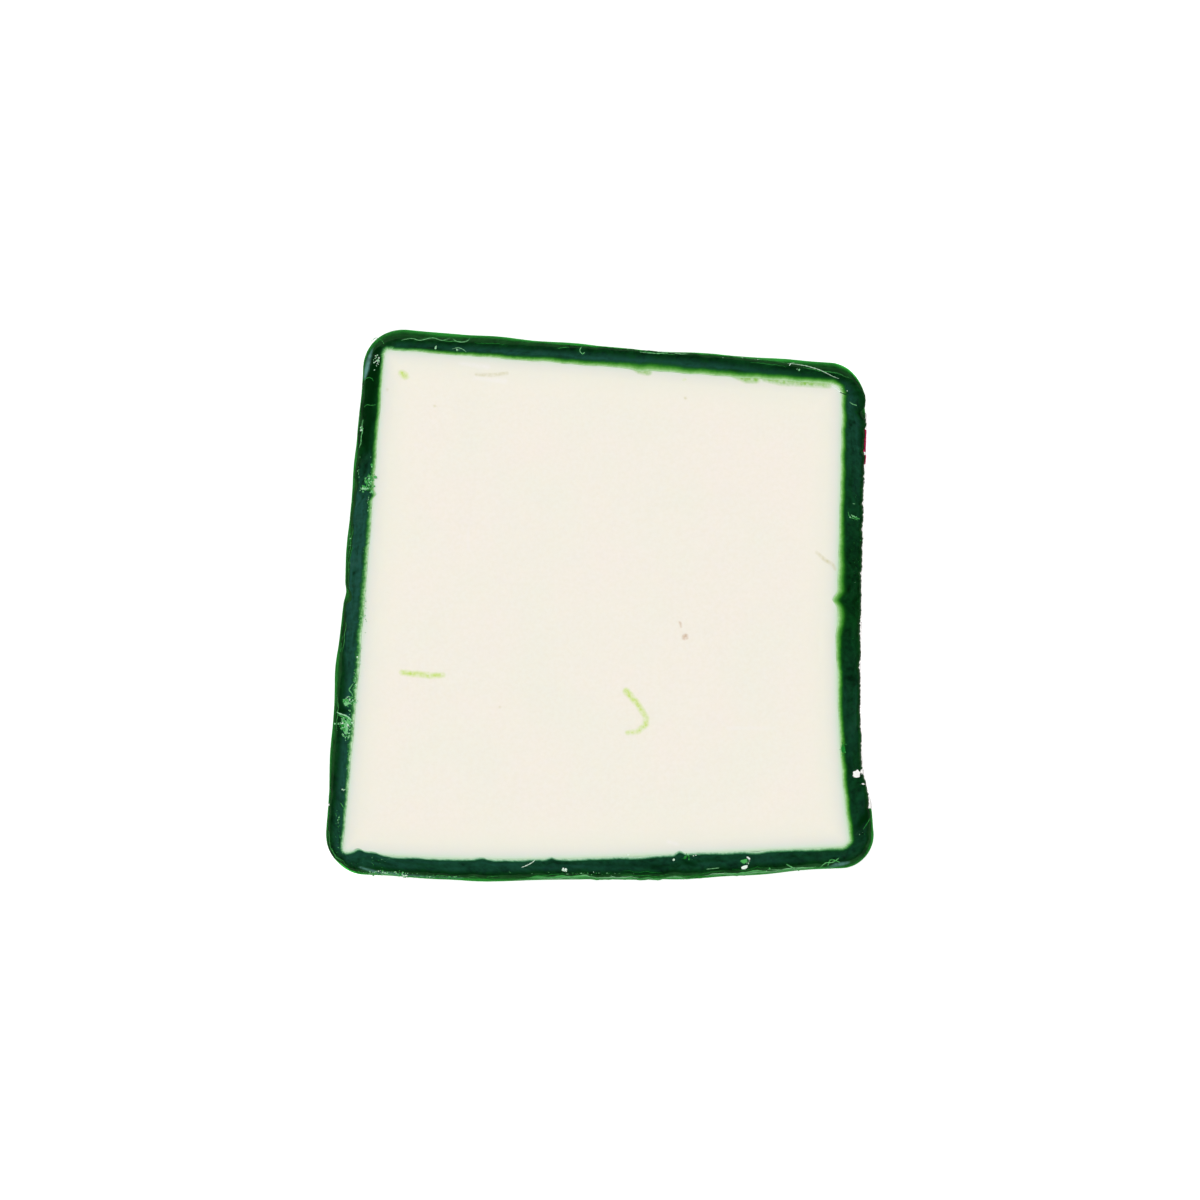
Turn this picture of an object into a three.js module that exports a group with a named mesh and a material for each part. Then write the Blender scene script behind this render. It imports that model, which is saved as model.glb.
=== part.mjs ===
import * as THREE from 'three';

// A square slab of cheddar cut from a waxed loaf, lying on one of its two cut faces.
// Millimetres, +Z up. X and Y are measured from the middle of the slab, Z from the face it lies on.
// Outlines run clockwise seen from above, from the far left corner: far, right, near and left side.

const SLAB_HEIGHT = 26;
const CHEESE_GAP = 0.15; // half of the gap between cheese and wax
const LABEL_GAP = 0.3;
const LABEL_THICKNESS = 0.25;
const LABEL_FOOT = 0.8; // height of the label's lower edge over the resting face
const LABEL_TOP = 25.8;
const LABEL_FAR_END = 31.4; // where the label starts and stops along the right side, in Y
const LABEL_NEAR_END = -33.2;

// How the outlines are divided. All three outlines have the same number of points.
const SIDE_STEPS = 42;
const CORNER_STEPS = 9;
const FAR_SIDE = 0;
const RIGHT_SIDE = 1;
const NEAR_SIDE = 2;
const LEFT_SIDE = 3;

// The cut edge of the cheese. A bow is how far the middle of a side stands out of its chord,
// and a lean moves that bow towards the end of the side.
const CHEESE_OUTLINE = {
  corners: [[-34.8, 41.5], [39.3, 35.8], [40.5, -39.1], [-41.6, -40.0]],
  radii: [1.4, 2.2, 1.6, 0.8],
  bows: [0.15, -1.35, 1.05, -0.1],
  leans: [-1.0, 0.6, 0.75, 0.5],
};

// The outer edge of the wax in the plane of the cut.
const WAX_CUT_OUTLINE = {
  corners: [[-37.2, 43.4], [42.6, 37.1], [43.5, -41.5], [-44.0, -42.2]],
  radii: [5.6, 5.2, 4.6, 6.0],
  bows: [1.1, -1.2, 1.4, 0.15],
  leans: [0.8, 0.8, 0.0, -0.5],
};

// The widest outline of the wax, a little below each cut, where the soft slab swells.
const WAX_SWELL_OUTLINE = {
  corners: [[-37.9, 45.4], [42.8, 39.2], [44.5, -42.8], [-45.1, -43.7]],
  radii: [6.9, 5.8, 5.3, 6.9],
  bows: [0.0, -1.5, 1.4, 0.35],
  leans: [0.0, 0.9, 0.1, -0.9],
};
const SWELL_DEPTH = 8; // distance from a cut at which the full width is reached
const WALL_DEPTHS = [0, 0.4, 1.2, 2.6, 5, 8, 13];

// Places where the poured wax stands out of the wall, is dented or is chipped at the cut edge:
// side, position along it from 0 to 1, height over the wall, and half width along and up it.
const WAX_LUMPS = [
  { side: FAR_SIDE, along: 0.2, z: 18, height: 0.15, halfWidth: 6, halfHeight: 9 },
  { side: FAR_SIDE, along: 0.67, z: 9, height: -0.25, halfWidth: 5, halfHeight: 4 },
  { side: RIGHT_SIDE, along: 0.93, z: 19, height: 0.45, halfWidth: 3.5, halfHeight: 10 },
  { side: NEAR_SIDE, along: 0.72, z: 19, height: 0.2, halfWidth: 5, halfHeight: 8 },
  { side: NEAR_SIDE, along: 0.3, z: 8, height: -0.3, halfWidth: 4, halfHeight: 5 },
  { side: NEAR_SIDE, along: 0.47, z: 5, height: 0.3, halfWidth: 3, halfHeight: 6 },
  { side: LEFT_SIDE, along: 0.515, z: 26, height: -0.6, halfWidth: 0.9, halfHeight: 9 },
  { side: LEFT_SIDE, along: 0.36, z: 18, height: 0.25, halfWidth: 4, halfHeight: 8 },
  { side: LEFT_SIDE, along: 0.8, z: 17, height: 0.2, halfWidth: 5, halfHeight: 8 },
  { side: LEFT_SIDE, along: 0.62, z: 9, height: -0.25, halfWidth: 6, halfHeight: 5 },
];

// Slow waves that pouring and cooling leave in the wall: length along it, turns over the
// height, height of the wave and where it starts.
const WALL_WAVES = [
  { length: 31, turns: 0.5, height: 0.1, start: 0.4 },
  { length: 17, turns: -1, height: 0.07, start: 2.1 },
  { length: 11, turns: 1.5, height: 0.05, start: 4.4 },
];

// Moves each corner inwards so that a circle of its radius touches both sides.
function arcCentres(corners, radii) {
  return corners.map(([x, y], i) => {
    const corner = new THREE.Vector2(x, y);
    const before = new THREE.Vector2(...corners[(i + 3) % 4]).sub(corner).normalize();
    const after = new THREE.Vector2(...corners[(i + 1) % 4]).sub(corner).normalize();
    const halfAngle = Math.acos(before.dot(after)) / 2;
    const inward = before.add(after).normalize();
    return corner.addScaledVector(inward, radii[i] / Math.sin(halfAngle));
  });
}

// The points of one outline with their outward normals: four bowed sides, each followed by
// the arc of its corner.
function outlinePoints({ corners, radii, bows, leans }) {
  const centres = arcCentres(corners, radii);
  const sides = centres.map((from, i) => {
    const to = centres[(i + 1) % 4];
    const length = from.distanceTo(to);
    const forward = to.clone().sub(from).divideScalar(length);
    const outward = new THREE.Vector2(-forward.y, forward.x);
    const points = [];
    for (let step = 0; step <= SIDE_STEPS; step += 1) {
      const t = step / SIDE_STEPS;
      const arch = 4 * t * (1 - t);
      const tilt = 1 + leans[i] * (2 * t - 1);
      const bow = bows[i] * arch * tilt;
      const slope = bows[i] * (4 * (1 - 2 * t) * tilt + 2 * arch * leans[i]) / length;
      const normal = outward.clone().addScaledVector(forward, -slope).normalize();
      const radius = THREE.MathUtils.lerp(radii[i], radii[(i + 1) % 4], t * t * (3 - 2 * t));
      const position = from.clone().lerp(to, t).addScaledVector(outward, bow);
      points.push({ side: i, along: t, normal, position: position.addScaledVector(normal, radius) });
    }
    return points;
  });
  return sides.flatMap((points, i) => {
    const centre = centres[(i + 1) % 4];
    const startAngle = points[SIDE_STEPS].normal.angle();
    const endAngle = sides[(i + 1) % 4][0].normal.angle();
    const turn = THREE.MathUtils.euclideanModulo(startAngle - endAngle, 2 * Math.PI);
    const arc = [];
    for (let step = 1; step < CORNER_STEPS; step += 1) {
      const angle = startAngle - turn * step / CORNER_STEPS;
      const normal = new THREE.Vector2(Math.cos(angle), Math.sin(angle));
      const position = centre.clone().addScaledVector(normal, radii[(i + 1) % 4]);
      arc.push({ side: i, along: 1, normal, position });
    }
    return [...points, ...arc];
  });
}

const cheeseEdge = outlinePoints(CHEESE_OUTLINE);
const waxCutEdge = outlinePoints(WAX_CUT_OUTLINE);
const waxSwellEdge = outlinePoints(WAX_SWELL_OUTLINE);

// Distance along the widest outline at each of its points.
const distanceAlong = waxSwellEdge.map(() => 0);
for (let i = 1; i < waxSwellEdge.length; i += 1) {
  const step = waxSwellEdge[i].position.distanceTo(waxSwellEdge[i - 1].position);
  distanceAlong[i] = distanceAlong[i - 1] + step;
}
const outlineLength = distanceAlong.at(-1) + waxSwellEdge.at(-1).position.distanceTo(waxSwellEdge[0].position);

// How far the lumps and dents move the wall outwards at one point of the outline and height.
function lumpsAt(index, z) {
  const { position } = waxSwellEdge[index];
  let sum = 0;
  for (const lump of WAX_LUMPS) {
    const start = lump.side * (SIDE_STEPS + CORNER_STEPS);
    const middle = waxSwellEdge[start + Math.round(lump.along * SIDE_STEPS)].position;
    const across = position.distanceTo(middle) / lump.halfWidth;
    const upwards = (z - lump.z) / lump.halfHeight;
    sum += lump.height * Math.exp(-(across ** 2) - upwards ** 2);
  }
  return sum;
}

// The waves fit a whole number of times round the slab, so that they close on themselves.
function wavesAt(index, z) {
  let sum = 0;
  for (const wave of WALL_WAVES) {
    const rounds = Math.round(outlineLength / wave.length);
    const around = 2 * Math.PI * rounds * distanceAlong[index] / outlineLength;
    const upwards = 2 * Math.PI * wave.turns * z / SLAB_HEIGHT;
    sum += wave.height * Math.sin(around + upwards + wave.start);
  }
  return sum;
}

// How much of the full width the wall has reached at a height: a quarter ellipse below each cut.
function swellAt(z) {
  const depth = Math.min(z, SLAB_HEIGHT - z);
  const left = Math.max(0, 1 - depth / SWELL_DEPTH);
  return Math.sqrt(1 - left * left);
}

// A point of the wax's outer wall, moved outwards by an extra distance.
function wallPoint(index, z, extra = 0) {
  const swell = swellAt(z);
  const { position, normal } = waxSwellEdge[index];
  const lift = lumpsAt(index, z) + swell * wavesAt(index, z) + extra;
  const plan = waxCutEdge[index].position.clone().lerp(position, swell).addScaledVector(normal, lift);
  return new THREE.Vector3(plan.x, plan.y, z);
}

function cheesePoint(index, z, extra) {
  const { position, normal } = cheeseEdge[index];
  return new THREE.Vector3(position.x + extra * normal.x, position.y + extra * normal.y, z);
}

function solidFromTriangles(points, triangles) {
  const geometry = new THREE.BufferGeometry();
  geometry.setFromPoints(points);
  geometry.setIndex(triangles.flat());
  geometry.computeVertexNormals();
  return geometry;
}

// Two triangles between four corners that run anticlockwise seen from outside.
function quad(a, b, c, d) {
  return [[a, b, c], [a, c, d]];
}

const wallHeights = [
  ...WALL_DEPTHS,
  ...WALL_DEPTHS.slice(0, -1).reverse().map((depth) => SLAB_HEIGHT - depth),
];

// The cheese: the cut outline carried straight up.
function cheeseGeometry() {
  const shape = new THREE.Shape(cheeseEdge.map((_, i) => {
    const { x, y } = cheesePoint(i, 0, -CHEESE_GAP);
    return new THREE.Vector2(x, y);
  }));
  return new THREE.ExtrudeGeometry(shape, { depth: SLAB_HEIGHT, bevelEnabled: false, curveSegments: 1 });
}

// The wax: one closed section, up the outer wall and down against the cheese, carried round.
function waxGeometry() {
  const points = [];
  const count = waxSwellEdge.length;
  const rows = wallHeights.length + 2;
  for (let i = 0; i < count; i += 1) {
    points.push(...wallHeights.map((z) => wallPoint(i, z)));
    points.push(cheesePoint(i, SLAB_HEIGHT, CHEESE_GAP));
    points.push(cheesePoint(i, 0, CHEESE_GAP));
  }
  const triangles = [];
  for (let i = 0; i < count; i += 1) {
    const here = i * rows;
    const next = ((i + 1) % count) * rows;
    for (let row = 0; row < rows; row += 1) {
      const above = (row + 1) % rows;
      triangles.push(...quad(here + row, here + above, next + above, next + row));
    }
  }
  return solidFromTriangles(points, triangles);
}

// The label: a sheet that follows the wall of the right side, cut off with the slab.
function labelGeometry() {
  const along = [];
  waxSwellEdge.forEach(({ side, along: t, position }, i) => {
    const onSide = side === RIGHT_SIDE && t < 1;
    if (onSide && position.y < LABEL_FAR_END && position.y > LABEL_NEAR_END) along.push(i);
  });
  const heights = wallHeights.map((z) => THREE.MathUtils.clamp(z, LABEL_FOOT, LABEL_TOP));
  const levels = [...new Set(heights)];
  const points = [];
  for (const extra of [LABEL_GAP + LABEL_THICKNESS, LABEL_GAP]) {
    for (const i of along) {
      points.push(...levels.map((z) => wallPoint(i, z, extra)));
    }
  }
  const rows = levels.length;
  const back = along.length * rows;
  const triangles = [];
  for (let i = 0; i + 1 < along.length; i += 1) {
    const here = i * rows;
    const next = here + rows;
    for (let row = 0; row + 1 < rows; row += 1) {
      triangles.push(...quad(here + row, here + row + 1, next + row + 1, next + row));
      triangles.push(...quad(back + here + row, back + next + row, back + next + row + 1, back + here + row + 1));
    }
    triangles.push(...quad(here + rows - 1, back + here + rows - 1, back + next + rows - 1, next + rows - 1));
    triangles.push(...quad(here, next, back + next, back + here));
  }
  const last = back - rows;
  for (let row = 0; row + 1 < rows; row += 1) {
    triangles.push(...quad(row, back + row, back + row + 1, row + 1));
    triangles.push(...quad(last + row, last + row + 1, back + last + row + 1, back + last + row));
  }
  return solidFromTriangles(points, triangles);
}

const cheeseMaterial = new THREE.MeshStandardMaterial({ color: '#f4ecda', roughness: 0.55, metalness: 0 });
const waxMaterial = new THREE.MeshStandardMaterial({ color: '#14502f', roughness: 0.35, metalness: 0 });
const labelMaterial = new THREE.MeshStandardMaterial({ color: '#f2f1ee', roughness: 0.5, metalness: 0 });

const slab = new THREE.Group();

const cheese = new THREE.Mesh(cheeseGeometry(), cheeseMaterial);
cheese.name = 'cheese';
slab.add(cheese);

const wax = new THREE.Mesh(waxGeometry(), waxMaterial);
wax.name = 'wax_coat';
slab.add(wax);

const label = new THREE.Mesh(labelGeometry(), labelMaterial);
label.name = 'label';
slab.add(label);

export default slab;
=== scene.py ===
import bpy
import numpy as np
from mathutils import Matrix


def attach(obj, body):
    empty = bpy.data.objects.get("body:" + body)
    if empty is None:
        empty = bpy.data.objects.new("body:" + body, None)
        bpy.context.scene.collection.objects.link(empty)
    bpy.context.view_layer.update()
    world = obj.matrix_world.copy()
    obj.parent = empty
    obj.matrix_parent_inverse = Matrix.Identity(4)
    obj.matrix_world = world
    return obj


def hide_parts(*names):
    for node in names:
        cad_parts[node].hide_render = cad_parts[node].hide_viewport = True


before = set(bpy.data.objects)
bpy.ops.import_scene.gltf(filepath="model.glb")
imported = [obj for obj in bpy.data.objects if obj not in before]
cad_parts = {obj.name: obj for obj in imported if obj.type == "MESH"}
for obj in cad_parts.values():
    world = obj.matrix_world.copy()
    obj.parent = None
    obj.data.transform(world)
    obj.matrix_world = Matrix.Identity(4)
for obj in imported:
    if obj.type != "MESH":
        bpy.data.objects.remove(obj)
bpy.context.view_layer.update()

# The table: a white sheet lit softly from all round, with the camera straight above the slab.
# A pixel of the 1200 pixel picture is a fixed length on the upper cut face, which sets the lens.
# All lengths in this script are millimetres, turned to metres where a mesh is made.
MM = 0.001
SLAB_HEIGHT = 26.0
PICTURE_PIXELS = 1200
PIXELS_PER_MM = 6.2
PICTURE_WIDTH = PICTURE_PIXELS / PIXELS_PER_MM
PICTURE_MIDDLE = (0.16, 0.81)
CAMERA_OVER_SLAB = 900.0
SENSOR_WIDTH = 36.0
SHEET_SIDE = 3000.0


def rgb(code):
    """The linear colour of an sRGB hex code, with alpha 1."""
    levels = np.array([int(code[i:i + 2], 16) for i in (1, 3, 5)]) / 255
    linear = np.where(levels <= 0.04045, levels / 12.92, ((levels + 0.055) / 1.055) ** 2.4)
    return (*linear.tolist(), 1)


def add(tree, kind, output, inputs=None, stops=(), **settings):
    """Adds a shader node with its settings and links, and returns one of its outputs.

    Inputs and outputs go by their identifiers. An input is a constant or another node's output,
    and stops are the (position, hex code) pairs of a colour ramp, lowest first.
    """
    node = tree.nodes.new("ShaderNode" + kind)
    for name, value in settings.items():
        setattr(node, name, value)
    for i, (position, code) in enumerate(stops):
        element = node.color_ramp.elements[i] if i < 2 else node.color_ramp.elements.new(position)
        element.position = position
        element.color = rgb(code)
    sockets = {socket.identifier: socket for socket in node.inputs}
    for name, value in (inputs or {}).items():
        if isinstance(value, bpy.types.NodeSocket):
            tree.links.new(value, sockets[name])
        else:
            sockets[name].default_value = value
    return next(socket for socket in node.outputs if socket.identifier == output)


def field(tree, name, output="Fac"):
    """One of the mesh's own attributes."""
    return add(tree, "Attribute", output, attribute_name=name)


def ramp(tree, place, stops):
    """A colour that changes with a value, over (position, hex code) stops."""
    return add(tree, "ValToRGB", "Color", {"Fac": place}, stops)


def remap(tree, value, low=0, high=1, to_low=0, to_high=1):
    """A value moved from one range to another and kept within it."""
    return add(tree, "MapRange", "Result", {
        "Value": value, "From Min": low, "From Max": high, "To Min": to_low, "To Max": to_high})


def combine(tree, operation, first, second):
    """Two values joined by one of the operations of the Math node."""
    return add(tree, "Math", "Value", {"Value": first, "Value_001": second}, operation=operation)


def mix(tree, share, first, second, kind="Color"):
    """A colour between two others, hex codes or outputs; with the kind Float, a number."""
    first, second = (rgb(side) if isinstance(side, str) else side for side in (first, second))
    return add(tree, "Mix", "Result_" + kind, data_type="RGBA" if kind == "Color" else "FLOAT", inputs={
        "Factor_Float": share, "A_" + kind: first, "B_" + kind: second})


def new_material(name, inputs):
    """A node material with these inputs on its Principled shader; its tree and shader as well."""
    material = bpy.data.materials.new(name)
    material.use_nodes = True
    shader = material.node_tree.nodes["Principled BSDF"]
    for key, value in inputs.items():
        shader.inputs[key].default_value = value
    return material, material.node_tree, shader


def add_mesh(name, points, faces, material, flat=(), **fields):
    """A mesh object from points in millimetres and arrays of faces with three or four corners.

    Faces in the arrays whose places are named in flat are flat shaded; each field becomes a
    point attribute of that name.
    """
    mesh = bpy.data.meshes.new(name)
    mesh.vertices.add(len(points))
    mesh.vertices.foreach_set("co", (np.asarray(points) * MM).astype(np.float32).ravel())
    corners = np.concatenate([part.ravel() for part in faces])
    counts = np.concatenate([np.full(len(part), part.shape[1]) for part in faces])
    mesh.loops.add(len(corners))
    mesh.loops.foreach_set("vertex_index", corners.astype(np.int32))
    mesh.polygons.add(len(counts))
    mesh.polygons.foreach_set("loop_start", (np.cumsum(counts) - counts).astype(np.int32))
    smooth = np.concatenate([np.full(len(part), i not in flat) for i, part in enumerate(faces)])
    mesh.polygons.foreach_set("use_smooth", smooth)
    mesh.update(calc_edges=True)
    mesh.validate()
    for name_of_field, values in fields.items():
        values = np.asarray(values, dtype=np.float32)
        vector = values.shape[-1] == 3
        attribute = mesh.attributes.new(name_of_field, "FLOAT_VECTOR" if vector else "FLOAT", "POINT")
        attribute.data.foreach_set("vector" if vector else "value", values.ravel())
    mesh.materials.append(material)
    piece = bpy.data.objects.new(name, mesh)
    bpy.context.scene.collection.objects.link(piece)
    return piece


camera_data = bpy.data.cameras.new("camera")
camera_data.sensor_width = SENSOR_WIDTH
camera_data.lens = SENSOR_WIDTH * CAMERA_OVER_SLAB / PICTURE_WIDTH
camera_data.clip_end = 10
camera = bpy.data.objects.new("camera", camera_data)
camera.location = (PICTURE_MIDDLE[0] * MM, PICTURE_MIDDLE[1] * MM, (SLAB_HEIGHT + CAMERA_OVER_SLAB) * MM)
bpy.context.scene.collection.objects.link(camera)
bpy.context.scene.camera = camera
bpy.context.scene.view_settings.view_transform = "Standard"

# White acrylic sheet: matt, and bright enough that no shadow is left around the slab.
SHEET_DEPTH = 0.05
sheet_material, _, _ = new_material("white acrylic sheet", {
    "Base Color": rgb("#f2f2f2"), "Roughness": 0.6,
    "Emission Color": rgb("#ffffff"), "Emission Strength": 0.6})
sheet_corners = np.array([[-1, -1, 0], [1, -1, 0], [1, 1, 0], [-1, 1, 0]]) * SHEET_SIDE / 2
table = add_mesh("table", sheet_corners - [0, 0, SHEET_DEPTH], [np.array([[0, 1, 2, 3]])], sheet_material)
table.visible_glossy = False

# Soft white walls all round with a darker gap overhead, where the camera hangs.
world = bpy.data.worlds.new("soft box")
world.use_nodes = True
bpy.context.scene.world = world
sky = world.node_tree
direction = add(sky, "TexCoord", "Generated")
height = add(sky, "SeparateXYZ", "Z", {"Vector": direction})
glow = ramp(sky, height, [
    (0, "#101010"), (0.02, "#ffffff"), (0.12, "#b0b0b0"), (0.3, "#484848"), (0.6, "#141414")])
sky.links.new(glow, sky.nodes["Background"].inputs["Color"])
sky.nodes["Background"].inputs["Strength"].default_value = 1.0

SOFT_LIGHTS = {
    "key light": {"place": (-800, 500, 1100), "side": 700, "watts": 15.8},
    "fill light": {"place": (800, -500, 1100), "side": 700, "watts": 13.8},
}
for light_name, light in SOFT_LIGHTS.items():
    lamp = bpy.data.lights.new(light_name, "AREA")
    lamp.size = light["side"] * MM
    lamp.energy = light["watts"]
    lamp_object = bpy.data.objects.new(light_name, lamp)
    lamp_object.location = np.array(light["place"]) * MM
    aim = -lamp_object.location
    lamp_object.visible_glossy = False
    lamp_object.rotation_euler = aim.to_track_quat("-Z", "Y").to_euler()
    bpy.context.scene.collection.objects.link(lamp_object)

# The cheddar: one pressed curd body, cut by a knife on both faces and bound by the wax.
# Its outline is four bowed sides with small round corners, filled by a surface between them.
CHEESE_CORNERS = [[-34.8, 41.5], [39.3, 35.8], [40.5, -39.1], [-41.6, -40]]
CHEESE_RADII = [1.4, 2.2, 1.6, 0.8]
CHEESE_BOWS = [0.15, -1.35, 1.3, -0.1]
CHEESE_LEANS = [-1, 0.6, 0.75, 0.5]
SIDE_STEPS = 300
CORNER_STEPS = 26
FACE_STEPS = 270
FAR, RIGHT, NEAR, LEFT = range(4)
ARC_SHARE = 0.04
MARGIN_WIDTH = 8.0


def rounded_outline(corners, radii, bows, leans):
    """Four bowed sides, each followed by the arc of its corner, clockwise from the far left.

    A side is the chord between the centres of its corners' arcs, moved across itself by
    bow * 4t(1-t) * (1 + lean (2t-1)) and then outwards by the radius; an arc is its centre
    plus the radius along a normal that turns evenly. Also returned are the outward normals and
    each point's turn, a number that grows by one from each corner to the next.
    """
    corners = np.array(corners, float)
    radii = np.array(radii)
    before = np.roll(corners, 1, axis=0) - corners
    after = np.roll(corners, -1, axis=0) - corners
    before /= np.linalg.norm(before, axis=1)[:, None]
    after /= np.linalg.norm(after, axis=1)[:, None]
    half_angle = np.arccos((before * after).sum(axis=1)) / 2
    inward = (before + after) / np.linalg.norm(before + after, axis=1)[:, None]
    centres = corners + inward * (radii / np.sin(half_angle))[:, None]
    t = np.linspace(0, 1, SIDE_STEPS + 1)[:, None]
    arch = 4 * t * (1 - t)
    blend = t * t * (3 - 2 * t)
    points, normals, turns = [], [], []
    side_normals = []
    for side in range(4):
        start, end = centres[side], centres[(side + 1) % 4]
        length = np.linalg.norm(end - start)
        forward = (end - start) / length
        outward = np.array([-forward[1], forward[0]])
        tilt = 1 + leans[side] * (2 * t - 1)
        bow = bows[side] * arch * tilt
        slope = bows[side] * (4 * (1 - 2 * t) * tilt + 2 * arch * leans[side]) / length
        normal = outward - slope * forward
        normal /= np.linalg.norm(normal, axis=1)[:, None]
        radius = radii[side] + (radii[(side + 1) % 4] - radii[side]) * blend
        points.append(start + (end - start) * t + bow * outward + radius * normal)
        side_normals.append(normal)
    for side in range(4):
        first, last = side_normals[side][-1], side_normals[(side + 1) % 4][0]
        start_angle = np.arctan2(first[1], first[0])
        fall = (start_angle - np.arctan2(last[1], last[0])) % (2 * np.pi)
        angle = start_angle - fall * np.arange(1, CORNER_STEPS)[:, None] / CORNER_STEPS
        arc_normal = np.hstack([np.cos(angle), np.sin(angle)])
        arc = centres[(side + 1) % 4] + radii[(side + 1) % 4] * arc_normal
        normals += [side_normals[side], arc_normal]
        turns.append(side + ARC_SHARE + (1 - 2 * ARC_SHARE) * t[:, 0])
        turns.append(side + 1 - ARC_SHARE + 2 * ARC_SHARE * np.arange(1, CORNER_STEPS) / CORNER_STEPS)
        points[side] = np.vstack([points[side], arc])
    return np.vstack(points), np.vstack(normals), np.concatenate(turns)


def along_curve(curve, shares):
    """The points at the given shares, 0 to 1, of a polyline's length."""
    steps = np.linalg.norm(np.diff(curve, axis=0), axis=1)
    length = np.concatenate([[0], np.cumsum(steps)])
    at = shares * length[-1]
    return np.stack([np.interp(at, length, curve[:, axis]) for axis in range(curve.shape[1])], axis=1)


def grid_faces(rows, columns, closed=False):
    """Quads of a grid numbered row by row; a closed grid joins its last column to its first."""
    row, column = np.meshgrid(np.arange(rows - 1), np.arange(columns - (not closed)), indexing="ij")
    right = (column + 1) % columns
    corners = [row * columns + column, row * columns + right,
               (row + 1) * columns + right, (row + 1) * columns + column]
    return np.stack(corners, axis=-1).reshape(-1, 4)


cheese_edge, cheese_normals, turns = rounded_outline(CHEESE_CORNERS, CHEESE_RADII, CHEESE_BOWS, CHEESE_LEANS)

# The steps across a cut face are closer near the wax, where its colour changes.
CROWDING = 0.7
CROWDED_SHARE = 0.025
even = (np.arange(FACE_STEPS) + 0.5) / FACE_STEPS
steps = 1 - CROWDING * (np.exp(-even / CROWDED_SHARE) + np.exp(-(1 - even) / CROWDED_SHARE))
face_shares = np.concatenate([[0], np.cumsum(steps)]) / steps.sum()


def cut_face(shares):
    """The outline filled in: its near-far and its left-right spans added, less what both hold.

    Each span is the straight blend of two facing sides; both hold the blend of the four
    corners, which is taken away once (a Coons patch).
    """
    block = SIDE_STEPS + CORNER_STEPS
    ends = [side * block + SIDE_STEPS + CORNER_STEPS // 2 for side in range(4)]
    index = np.arange(len(cheese_edge))
    sides = []
    for side in range(4):
        first = ends[side - 1] - (len(index) if side == 0 else 0)
        sides.append(cheese_edge[np.arange(first, ends[side] + 1) % len(index)])
    far = along_curve(sides[FAR], shares)[:, None]
    right = along_curve(sides[RIGHT][::-1], shares)[None]
    near = along_curve(sides[NEAR][::-1], shares)[:, None]
    left = along_curve(sides[LEFT], shares)[None]
    s = shares[:, None, None]
    t = shares[None, :, None]
    spans = near * (1 - t) + far * t + left * (1 - s) + right * s
    both = near[:1] * (1 - s) * (1 - t) + near[-1:] * s * (1 - t) + far[:1] * (1 - s) * t + far[-1:] * s * t
    return spans - both


def edge_distance(plan):
    """How far each point is from the nearest point of the cheese's outline."""
    return np.concatenate([np.linalg.norm(part[:, None] - cheese_edge, axis=2).min(axis=1)
                           for part in np.array_split(plan.reshape(-1, 2), 100)])


FAR_AWAY = 99.0


def stroke_distance(plan, strokes):
    """Distance to the nearest of some strokes, less the stroke's half width there.

    A stroke is a chain of (x, y, half width) points; the half width changes evenly between them.
    """
    plan = plan.reshape(-1, 2)
    nearest = np.full(len(plan), FAR_AWAY)
    for stroke in strokes:
        for (ax, ay, aw), (bx, by, bw) in zip(stroke[:-1], stroke[1:]):
            start, chord = np.array([ax, ay]), np.array([bx - ax, by - ay])
            share = np.clip((plan - start) @ chord / (chord @ chord), 0, 1)
            away = np.linalg.norm(plan - start - share[:, None] * chord, axis=1)
            nearest = np.minimum(nearest, away - aw - (bw - aw) * share)
    return nearest


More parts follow.
